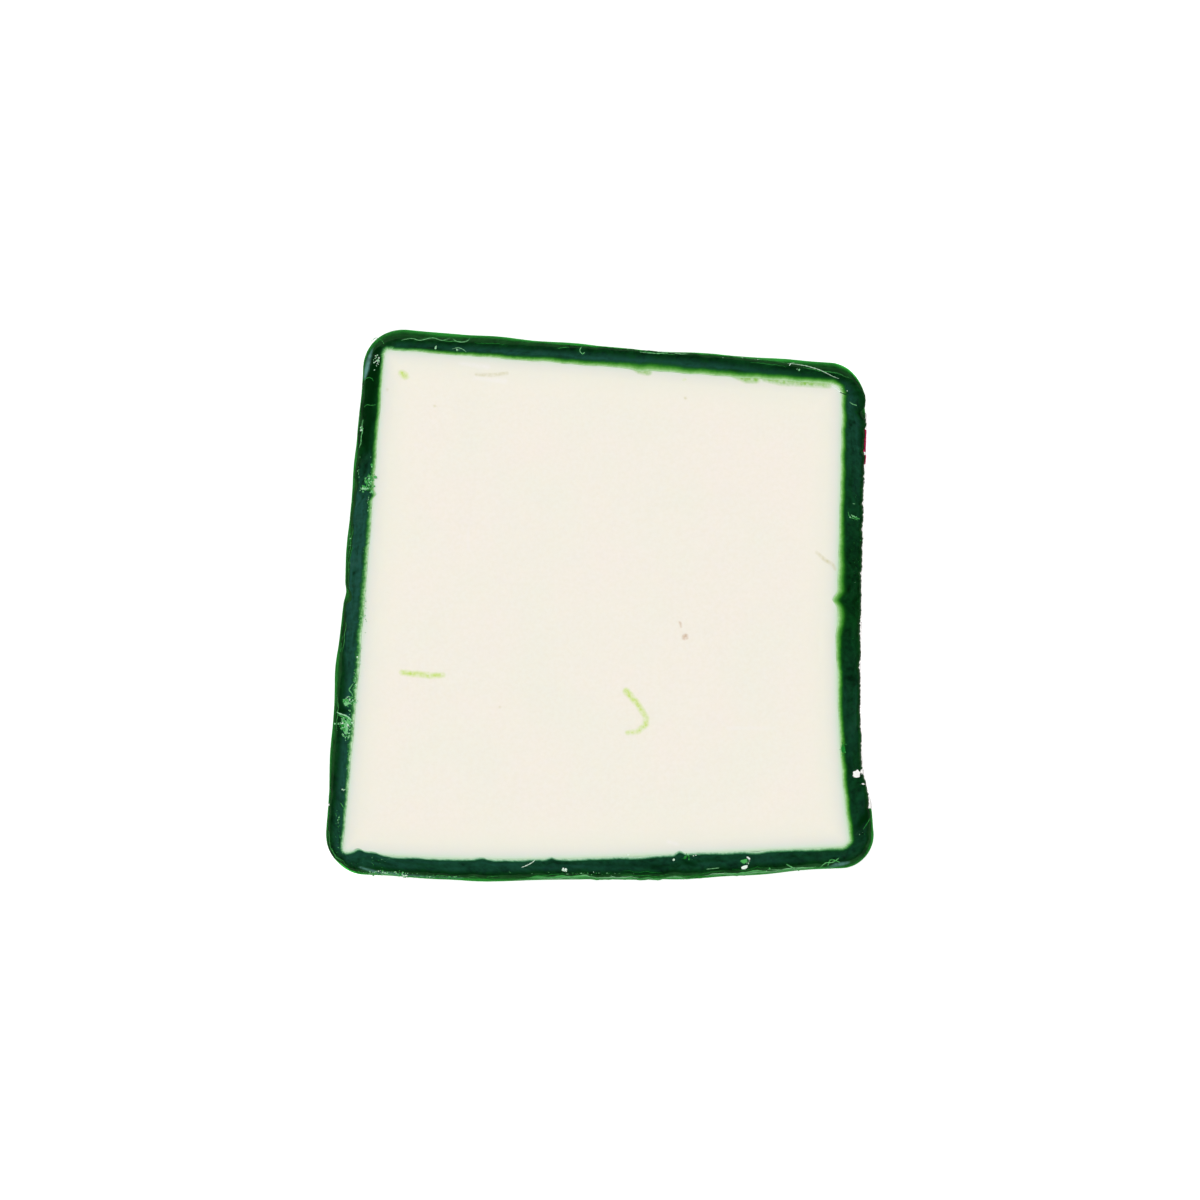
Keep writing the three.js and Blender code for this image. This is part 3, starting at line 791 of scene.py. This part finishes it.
# Loose wax on the slab: crumbs that the knife broke off, lying in clusters on the cut and the
# shoulder. Each is a small dented lump, pale where it is thin and green where it is thick.
CRUMB_CLUSTERS = [  # x, y, spread along x and y, how many, radius, paleness
    (-35.8, 39.4, 0.35, 0.75, 30, 0.12, 0.85),
    (-36.6, 20.2, 0.3, 2.4, 40, 0.09, 0.5),
    (-38.7, 21.5, 0.2, 2.1, 14, 0.12, 0.5),
    (-38.2, 28.5, 0.15, 0.4, 5, 0.16, 0.75),
    (-40.2, 9.7, 0.2, 2.9, 14, 0.1, 0.45),
    (-36.6, 22.4, 0.2, 0.35, 9, 0.14, 0.6),
    (-37, 20.2, 0.6, 0.7, 70, 0.17, 0.5),
    (-37.4, 18.8, 0.8, 0.5, 70, 0.16, 0.5),
    (-37.2, 16.3, 0.25, 1.6, 24, 0.09, 0.45),
    (-37.7, 1.5, 0.2, 4.5, 60, 0.08, 0.55),
    (-38.6, -6, 0.2, 4, 60, 0.08, 0.55),
    (-39.4, -12.6, 0.2, 1.6, 40, 0.1, 0.6),
    (-40.2, -15.5, 0.8, 0.6, 60, 0.15, 0.6),
    (-40.2, -17.1, 0.12, 0.15, 3, 0.12, 0.75),
    (-40.8, -19.2, 0.8, 0.9, 110, 0.2, 0.55),
    (-40.6, -20.5, 0.5, 1, 60, 0.16, 0.5),
    (-41.2, -21, 0.3, 0.2, 8, 0.12, 0.7),
    (-42.3, -20.2, 0.1, 0.1, 2, 0.12, 0.55),
    (-40.3, -24, 0.25, 2.5, 30, 0.08, 0.45),
    (-41.3, -29.8, 0.25, 0.1, 5, 0.13, 0.75),
    (-43.5, -32.1, 0.1, 0.1, 2, 0.18, 0.75),
    (-42.1, -34.7, 0.4, 1.2, 16, 0.1, 0.45),
    (-42, -38, 0.8, 2.2, 30, 0.08, 0.35),
    (-26.3, 41.5, 0.12, 0.15, 3, 0.16, 0.85),
    (-22.7, 41.1, 0.5, 0.1, 6, 0.12, 0.7),
    (-2.6, 40.6, 0.2, 0.2, 4, 0.12, 0.6),
    (32.3, 37.9, 0.1, 0.1, 2, 0.14, 0.65),
    (41, 14.2, 0.8, 0.25, 14, 0.08, 0.6),
    (41.1, 16.5, 0.15, 0.15, 3, 0.12, 0.65),
    (41.5, 10, 0.6, 14, 60, 0.05, 0.35),
    (39.4, -23.4, 0.35, 0.9, 16, 0.16, 0.25),
    (42, -37, 0.6, 0.4, 5, 0.08, 0.55),
    (39.9, 34.8, 0.5, 0.4, 6, 0.08, 0.7),
    (-31.4, -43.6, 0.4, 0.1, 6, 0.16, 0.95),
    (-34.6, -43.3, 3.4, 0.35, 130, 0.12, 0.6),
    (-27, -43.9, 4.5, 0.25, 90, 0.1, 0.55),
    (-5.5, -42.7, 0.35, 0.2, 7, 0.2, 0.95),
    (12, -41, 0.1, 0.1, 2, 0.13, 0.9),
    (15.5, -40.4, 0.3, 0.12, 6, 0.11, 0.95),
    (14.2, -40.6, 0.6, 0.4, 30, 0.13, 0.25),
    (20, 39.9, 0.05, 0.05, 1, 0.12, 0.95),
    (23.1, 39.85, 0.1, 0.05, 2, 0.11, 0.95),
    (25.6, 39.6, 0.2, 0.05, 3, 0.1, 0.95),
    (31.9, 38, 0.05, 0.05, 1, 0.12, 0.9),
    (4.7, -40.3, 0.12, 0.12, 2, 0.16, 0.9),
    (23.9, -41.5, 0.5, 0.5, 9, 0.09, 0.8),
    (-3, -43.3, 8, 0.25, 60, 0.07, 0.55),
    (30.8, -42.8, 4, 0.3, 40, 0.07, 0.55),
    (-36, -41, 3, 0.9, 26, 0.07, 0.4),
    (-39, -8.4, 0.1, 0.1, 2, 0.14, 0.85),
    (-37.9, -10.2, 0.1, 0.1, 2, 0.12, 0.8),
    (-38.1, -1.9, 0.1, 0.1, 3, 0.13, 0.8),
]
GOLDEN = (1 + 5 ** 0.5) / 2
LUMP_POINTS = np.array([
    [-1, GOLDEN, 0], [1, GOLDEN, 0], [-1, -GOLDEN, 0], [1, -GOLDEN, 0],
    [0, -1, GOLDEN], [0, 1, GOLDEN], [0, -1, -GOLDEN], [0, 1, -GOLDEN],
    [GOLDEN, 0, -1], [GOLDEN, 0, 1], [-GOLDEN, 0, -1], [-GOLDEN, 0, 1]]) / np.hypot(1, GOLDEN)
LUMP_FACES = np.array([
    [0, 11, 5], [0, 5, 1], [0, 1, 7], [0, 7, 10], [0, 10, 11], [1, 5, 9], [5, 11, 4],
    [11, 10, 2], [10, 7, 6], [7, 1, 8], [3, 9, 4], [3, 4, 2], [3, 2, 6], [3, 6, 8],
    [3, 8, 9], [4, 9, 5], [2, 4, 11], [6, 2, 10], [8, 6, 7], [9, 8, 1]])
LUMP_DENT = 0.35
LUMP_FLATNESS = 0.65
CRUMB_SPREAD = 0.6
CRUMB_SIZES = (-0.5, 0.4)  # middle and spread of the natural logarithm of the size
CRUMB_LIFT = 0.3
PALENESS_SPREAD = 0.15
NEAREST_COUNT = 4
SHOULDER_ROWS = 9
FACE_MARGIN = 4

upper_wax = ring[:len(BAND_SHARES) + SHOULDER_ROWS].reshape(-1, 3)
upper_face = top_points[top_edge < FACE_MARGIN]
upper_surface = np.vstack([upper_wax, upper_face])


def lay_on(plan):
    """The height of the slab under some places: the mean height of the nearest mesh points.

    Each of the nearest few points counts by one over its squared distance.
    """
    plan = np.atleast_2d(plan)
    heights_found = []
    for part in np.array_split(plan, max(1, len(plan) // 100)):
        away = ((part[:, None] - upper_surface[None, :, :2]) ** 2).sum(axis=2) + 1e-6
        nearest = np.argpartition(away, NEAREST_COUNT, axis=1)[:, :NEAREST_COUNT]
        weight = 1 / np.take_along_axis(away, nearest, axis=1)
        heights_found.append((upper_surface[nearest, 2] * weight).sum(axis=1) / weight.sum(axis=1))
    return np.concatenate(heights_found)


def lumps(centres, radii):
    """Dented lumps: an icosahedron whose corners are moved in or out at random, turned at random."""
    count = len(centres)
    turned = np.linalg.qr(rng.normal(size=(count, 3, 3)))[0]
    turned[np.linalg.det(turned) < 0] *= -1
    scale = 1 + LUMP_DENT * rng.uniform(-1, 1, (count, len(LUMP_POINTS), 1))
    points = np.einsum("nij,kj->nki", turned, LUMP_POINTS) * scale * radii[:, None, None]
    points[..., 2] *= LUMP_FLATNESS
    points += centres[:, None]
    faces = LUMP_FACES[None] + len(LUMP_POINTS) * np.arange(count)[:, None, None]
    return points.reshape(-1, 3), faces.reshape(-1, 3)


crumb_plan, crumb_radius, crumb_paleness = [], [], []
for x, y, spread_x, spread_y, count, radius, paleness in CRUMB_CLUSTERS:
    spreads = (CRUMB_SPREAD * spread_x, CRUMB_SPREAD * spread_y)
    crumb_plan.append(rng.normal((x, y), spreads, (count, 2)))
    crumb_radius.append(radius * np.exp(rng.normal(*CRUMB_SIZES, count)))
    crumb_paleness.append(np.clip(rng.normal(paleness, PALENESS_SPREAD, count), 0, 1))
crumb_plan, crumb_radius = np.vstack(crumb_plan), np.concatenate(crumb_radius)
crumb_centres = np.column_stack([crumb_plan, lay_on(crumb_plan) + CRUMB_LIFT * crumb_radius])
crumb_points, crumb_faces = lumps(crumb_centres, crumb_radius)
crumb_paleness = np.repeat(np.concatenate(crumb_paleness), len(LUMP_POINTS))

# Thin wax: the same wax shaved so thin that it turns pale, as its hue runs from green to white.
thin_wax_material, tree, shader = new_material("thin shaved cheese wax", {
    "Roughness": 0.4, "IOR": 1.44})
thin_colour = ramp(tree, field(tree, "paleness"), [
    (0, "#0b4a1a"), (0.3, "#1f842c"), (0.5, "#4cac56"), (0.75, "#a0dcaa"), (1, "#f2fbf3")])
tree.links.new(thin_colour, shader.inputs["Base Color"])
crumbs = add_mesh("wax_crumbs", crumb_points, [crumb_faces], thin_wax_material, flat=(0,),
                  paleness=crumb_paleness)
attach(crumbs, "root")

# Flakes: larger chips, thin sheets that bulge a little, of the same thin wax. The scraps are
# torn bits of the label's paper that lie on the cut beside it.
WAX_FLAKES = [  # x, y, half length and half width, direction in degrees, paleness
    (23.4, -41.3, 0.6, 0.33, 15, 0.5),
    (24.1, -40.8, 0.35, 0.12, -40, 0.98),
    (23.5, -42.3, 0.65, 0.34, 30, 0.97),
    (-26.3, 41.6, 0.25, 0.12, 60, 0.75),
    (-35.5, 39.4, 0.18, 0.09, 80, 0.8),
    (-35.9, 40.2, 0.15, 0.08, 20, 0.75),
    (-40.7, -15.9, 0.5, 0.3, 20, 0.6),
    (-41.1, -15.4, 0.3, 0.15, -50, 0.5),
    (-40.4, -18.9, 0.55, 0.3, -60, 0.55),
    (-40.8, -20.2, 0.6, 0.35, 80, 0.6),
    (-41.3, -19.4, 0.3, 0.2, 30, 0.45),
    (-41.2, -29.8, 0.4, 0.08, 5, 0.75),
    (-31.2, -43.7, 0.3, 0.12, 10, 0.95),
    (-5.4, -42.8, 0.3, 0.12, 30, 0.9),
    (41.1, 14.3, 0.4, 0.1, -30, 0.6),
    (41.6, 14, 0.5, 0.08, -20, 0.5),
    (39.4, -23.3, 0.5, 0.3, 80, 0.25),
]
PAPER_SCRAPS = [  # x, y, half length and half width, direction in degrees
    (41.55, -27.2, 0.68, 0.55, 15),
    (42.55, -26.85, 0.34, 0.5, -10),
    (42.6, -28.85, 0.3, 0.13, -5),
    (43.05, 30.9, 0.25, 0.12, 80),
    (43.05, 8.3, 0.18, 0.08, 85),
    (42.6, 5.6, 0.12, 0.07, 80),
    (42.3, -3, 0.12, 0.07, 80),
]
FLAKE_CORNERS = 11
FLAKE_THICKNESS = 0.07
FLAKE_BULGE = 0.1
FLAKE_LIFT = 0.04
FLAKE_RAGGEDNESS = 0.25


def join(parts):
    """Several pieces, each its points and then its arrays of faces, made into one."""
    firsts = np.cumsum([0] + [len(part[0]) for part in parts])
    return (np.vstack([part[0] for part in parts]),
            [np.vstack([part[i] + first for part, first in zip(parts, firsts)])
             for i in range(1, len(parts[0]))])


def spread_over(parts, values):
    """A value for each of some pieces, given to each of its points."""
    return np.concatenate([np.full(len(part[0]), value) for part, value in zip(parts, values)])


def flake(x, y, half_length, half_width, degrees):
    """A thin chip: an ellipse with an uneven rim, its middle raised above the slab by a bulge.

    Points and triangles are returned: a fan on each side and a band between the two rims.
    """
    angle = 2 * np.pi * np.arange(FLAKE_CORNERS) / FLAKE_CORNERS
    reach = 1 + FLAKE_RAGGEDNESS * rng.uniform(-1, 1, FLAKE_CORNERS)
    along, across = half_length * reach * np.cos(angle), half_width * reach * np.sin(angle)
    heading = np.radians(degrees)
    rim_plan = np.column_stack([x + along * np.cos(heading) - across * np.sin(heading),
                                y + along * np.sin(heading) + across * np.cos(heading)])
    rim_height = lay_on(rim_plan) + FLAKE_LIFT
    lower = np.column_stack([rim_plan, rim_height])
    upper = lower + [0, 0, FLAKE_THICKNESS]
    middle = np.append(lower[:, :2].mean(axis=0), rim_height.max() + FLAKE_BULGE)
    points = np.vstack([lower, upper, middle, middle + [0, 0, FLAKE_THICKNESS]])
    here = np.arange(FLAKE_CORNERS)
    there = np.roll(here, -1)
    low_middle = np.full(FLAKE_CORNERS, 2 * FLAKE_CORNERS)
    triangles = np.vstack([
        np.column_stack([low_middle, there, here]),
        np.column_stack([low_middle + 1, here + FLAKE_CORNERS, there + FLAKE_CORNERS]),
        np.column_stack([here, there, there + FLAKE_CORNERS]),
        np.column_stack([here, there + FLAKE_CORNERS, here + FLAKE_CORNERS]),
    ])
    return points, triangles


flakes = [flake(*row[:-1]) for row in WAX_FLAKES]
wax_flakes = add_mesh("wax_flakes", *join(flakes), thin_wax_material, flat=(0,),
                      paleness=spread_over(flakes, [row[-1] for row in WAX_FLAKES]))
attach(wax_flakes, "root")
scraps = [flake(*row) for row in PAPER_SCRAPS]
paper_scraps = add_mesh("label_scraps", *join(scraps), label_material, flat=(0,))
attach(paper_scraps, "root")

# Threads and burrs: thin curls that the knife pulled off the cut edge, and the ragged lip that
# it left along the edge. Each is a round thread, tapered to a point at both ends.
THREADS = [  # radius, paleness and the stops of the path seen from above
    (0.06, 0.6, [(-31.9, 42.7), (-30.2, 43), (-28.9, 42.7), (-26.9, 43.1), (-25.3, 42.7), (-24, 43.1)]),
    (0.06, 0.6, [(-23.7, 43.1), (-23.1, 42.6), (-22.1, 42.4), (-21.1, 42.7), (-20.8, 43.4)]),
    (0.06, 0.65, [(6.6, 40.8), (9, 40.6), (11.5, 40.7), (13.4, 40.5), (15.5, 40.6)]),
    (0.04, 0.5, [(21.1, 40.2), (24, 39.8), (27.5, 39.5), (30.4, 39)]),
    (0.055, 0.85, [(30.4, 39), (32.6, 38.75), (34.8, 38.2), (36.3, 37.6), (37.7, 36.9), (38.7, 36.5)]),
    (0.06, 0.9, [(30.7, 38.6), (31, 39), (31.5, 39.1)]),
    (0.06, 0.6, [(-2.7, 41.8), (-3.1, 41.1), (-2.7, 40.5), (-2.3, 40.8)]),
    (0.07, 0.9, [(-12.5, -42.3), (-11.8, -42.05), (-10.9, -41.6), (-10.3, -41.1)]),
    (0.05, 0.65, [(17.3, -42.6), (18.5, -42.5), (19.4, -42.4)]),
    (0.1, 0.55, [(30.2, -41.8), (31.1, -42.3), (32.4, -43)]),
    (0.08, 0.55, [(28.5, -43.1), (29.8, -42.7), (31.6, -42.7)]),
    (0.08, 0.55, [(35.6, -42.4), (36.6, -41.6), (37.7, -41.5), (38.7, -40.8)]),
    (0.08, 0.5, [(36.9, -42.1), (37.4, -41.1), (38.9, -41.5)]),
    (0.05, 0.5, [(-36.9, 42.6), (-36, 43.2), (-35, 42.6), (-34.7, 42.1)]),
    (0.05, 0.65, [(-23.7, 41.3), (-22.7, 41.5), (-21.9, 41.2), (-21.4, 40.8)]),
    (0.05, 0.35, [(-37.9, 36.1), (-37.6, 36.5), (-37.1, 36.7), (-36.6, 36.5), (-36.4, 36.1)]),
    (0.05, 0.4, [(-37.9, 31.9), (-37.4, 32.3), (-36.8, 32.2), (-36, 32.3)]),
    (0.13, 0.75, [(-42.3, -17.3), (-41.6, -17.6), (-40.7, -17.9), (-40.1, -18.4)]),
    (0.15, 0.4, [(-42.1, -17.7), (-41.4, -18), (-40.7, -18.2), (-40.2, -18.6)]),
    (0.08, 0.55, [(-39.6, -12.6), (-40.1, -13.3), (-40.3, -13.7), (-39.9, -14.2), (-39.7, -14.7)]),
    (0.07, 0.6, [(-40.8, -15.3), (-40.2, -15.8), (-39.7, -15.4)]),
    (0.05, 0.5, [(40.2, 15), (40.5, 14.2), (41.8, 13.7)]),
    (0.05, 0.45, [(40.8, 14.4), (42.1, 13.9)]),
    (0.06, 0.6, [(40.4, 32.75), (40.9, 32.4), (41.6, 32.2)]),
    (0.09, 1, [(37.4, 35.4), (38.2, 34.9), (38.9, 34.35)]),
    (0.09, 0, [(38.9, 34.3), (39.6, 34), (40.3, 33.9)]),
    (0.07, 0.55, [(-38.05, 29.9), (-38.25, 28.9), (-38.1, 28.2), (-38.35, 27.2), (-38.4, 26.2),
                  (-38.7, 25.4)]),
    (0.06, 0.5, [(-41.7, -31.9), (-41.2, -32.6), (-40.9, -32.9)]),
    (0.05, 0.35, [(42.6, -36.2), (43.4, -35), (43.9, -34)]),
]
THREAD_STEP = 0.2
THREAD_SIDES = 6
THREAD_LIFT = 0.35
THREAD_UNEVENNESS = 0.3
THREAD_BEAT = 1.7
BURR_COUNT = 34
BURR_LENGTHS = (2, 9)
BURR_RADII = (0.025, 0.05)
BURR_SHADES = (0.2, 0.5)
BURR_OFFSETS = (-0.2, 0.3)
BURR_WANDER = 0.2
LABEL_CORNER_TURN = 2.1


def smooth_path(stops):
    """A path through some stops: each span blends two parabolas (Catmull-Rom)."""
    stops = np.array([stops[0], *stops, stops[-1]], float)
    path = []
    for a, b, c, d in zip(stops, stops[1:], stops[2:], stops[3:]):
        t = np.arange(0, 1, THREAD_STEP / max(np.linalg.norm(c - b), THREAD_STEP))[:, None]
        path.append(b + 0.5 * t * (c - a + t * (2 * a - 5 * b + 4 * c - d + t * (3 * b - a - 3 * c + d))))
    return np.vstack([*path, stops[-1:]])


def thread(plan, radius):
    """A round tube along a path on the slab, its radius falling to a point at both ends.

    The radius is multiplied by the square root of sin(pi t); the tube's middle lies a share of
    the radius above the slab. Points, quads and the triangles of the two ends are returned.
    """
    count = len(plan)
    taper = np.sqrt(np.sin(np.pi * np.linspace(0, 1, count + 2)[1:-1]))
    uneven = 1 + THREAD_UNEVENNESS * np.sin(np.arange(count) * THREAD_BEAT + plan[0, 0])
    size = radius * taper * uneven
    forward = np.gradient(plan, axis=0)
    forward /= np.linalg.norm(forward, axis=1)[:, None] + 1e-9
    across = np.column_stack([-forward[:, 1], forward[:, 0], np.zeros(count)])
    middle = np.column_stack([plan, lay_on(plan) + THREAD_LIFT * radius])
    angle = 2 * np.pi * np.arange(THREAD_SIDES) / THREAD_SIDES
    circle = across[:, None] * np.cos(angle)[:, None] + np.array([0, 0, 1]) * np.sin(angle)[:, None]
    tube = middle[:, None] + circle * size[:, None, None]
    points = np.vstack([tube.reshape(-1, 3), middle[:1], middle[-1:]])
    around_it = np.arange(THREAD_SIDES)
    next_one = np.roll(around_it, -1)
    last = (count - 1) * THREAD_SIDES
    start = np.full(THREAD_SIDES, count * THREAD_SIDES)
    ends = np.vstack([np.column_stack([start, next_one, around_it]),
                      np.column_stack([start + 1, last + around_it, last + next_one])])
    return points, grid_faces(count, THREAD_SIDES, closed=True), ends


threads = [thread(smooth_path(stops), radius) for radius, _, stops in THREADS]
thread_shades = [paleness for _, paleness, _ in THREADS]
for _ in range(BURR_COUNT):
    length = rng.uniform(*BURR_LENGTHS)
    first = rng.integers(columns)
    index = (first + np.arange(int(length / swell_steps.mean()))) % columns
    clear_of_label = (turns[index] < RIGHT).all() or (turns[index] > LABEL_CORNER_TURN).all()
    offset = rng.uniform(*BURR_OFFSETS)
    wander = np.cumsum(rng.normal(size=len(index))) / np.sqrt(len(index))
    if clear_of_label:
        path = cut_edge[index] + (offset + BURR_WANDER * wander)[:, None] * wax_normals[index]
        threads.append(thread(path, rng.uniform(*BURR_RADII)))
        thread_shades.append(rng.uniform(*BURR_SHADES))
wax_threads = add_mesh("wax_threads", *join(threads), thin_wax_material,
                       paleness=spread_over(threads, thread_shades))
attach(wax_threads, "root")

# Shavings: flat slivers that the knife peeled from the near shoulder and left lying on it.
SHAVINGS = [  # start and end along the near side, mm out from the cut edge, width, paleness
    (31, 35, 0.5, 0.25, 0.55),
    (16.8, 31.5, 0.75, 0.4, 0.46),
    (20, 27, 0.45, 0.25, 0.52),
    (-14, -7, 0.85, 0.25, 0.46),
    (-11.5, 0.5, 0.55, 0.55, 0.46),
    (-2, 10, 0.75, 0.4, 0.48),
    (6, 17, 0.9, 0.25, 0.52),
    (-6, 2, 0.35, 0.15, 0.6),
    (-10, -3, 0.7, 0.12, 0.72),
    (-1, 6.5, 0.5, 0.14, 0.72),
    (7.5, 15, 0.8, 0.12, 0.66),
    (17, 23, 0.55, 0.14, 0.7),
    (22.5, 30, 0.7, 0.14, 0.68),
    (27, 34, 0.35, 0.12, 0.64),
]
SHAVING_ACROSS = np.array([-1, -0.6, 0, 0.6, 1])
SHAVING_RISE = np.array([0, 0.09, 0.12, 0.09, 0])
SHAVING_LIFT = 0.03
SHAVING_DEPTH = 0.1
SHAVING_TURNS = (2.05, 2.95)
SHAVING_CAP = np.array([[0, 1, 8, 9], [1, 2, 7, 8], [2, 3, 6, 7], [3, 4, 5, 6]])
shavings = []
for start, end, out, width, _ in SHAVINGS:
    on_side = (turns > SHAVING_TURNS[0]) & (turns < SHAVING_TURNS[1])
    near_rim = np.flatnonzero(on_side & (cut_edge[:, 0] > start) & (cut_edge[:, 0] < end))
    t = np.linspace(0, 1, len(near_rim))
    middle_out = out + 0.06 * np.sin(9 * t + start) + 0.03 * np.sin(31 * t)
    taper = np.sqrt(np.sin(np.pi * np.clip(t, 0.02, 0.98)))
    half = 0.5 * width * taper * (1 + 0.25 * np.sin(23 * t + end))
    offset = middle_out[:, None] + half[:, None] * SHAVING_ACROSS
    plan = cut_edge[near_rim, None] + offset[..., None] * wax_normals[near_rim, None]
    bed = lay_on(plan.reshape(-1, 2)).reshape(offset.shape)
    top = np.dstack([plan, bed + SHAVING_LIFT + SHAVING_RISE])
    low = np.dstack([plan, bed - SHAVING_DEPTH])[:, ::-1]
    loop = np.concatenate([top, low], axis=1)
    corners = loop.shape[1]
    ends = np.vstack([SHAVING_CAP, SHAVING_CAP[:, ::-1] + (len(near_rim) - 1) * corners])
    shavings.append((loop.reshape(-1, 3), grid_faces(len(near_rim), corners, closed=True)[:, ::-1], ends))
wax_shavings = add_mesh("wax_shavings", *join(shavings), thin_wax_material,
                        paleness=spread_over(shavings, [row[-1] for row in SHAVINGS]))
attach(wax_shavings, "root")
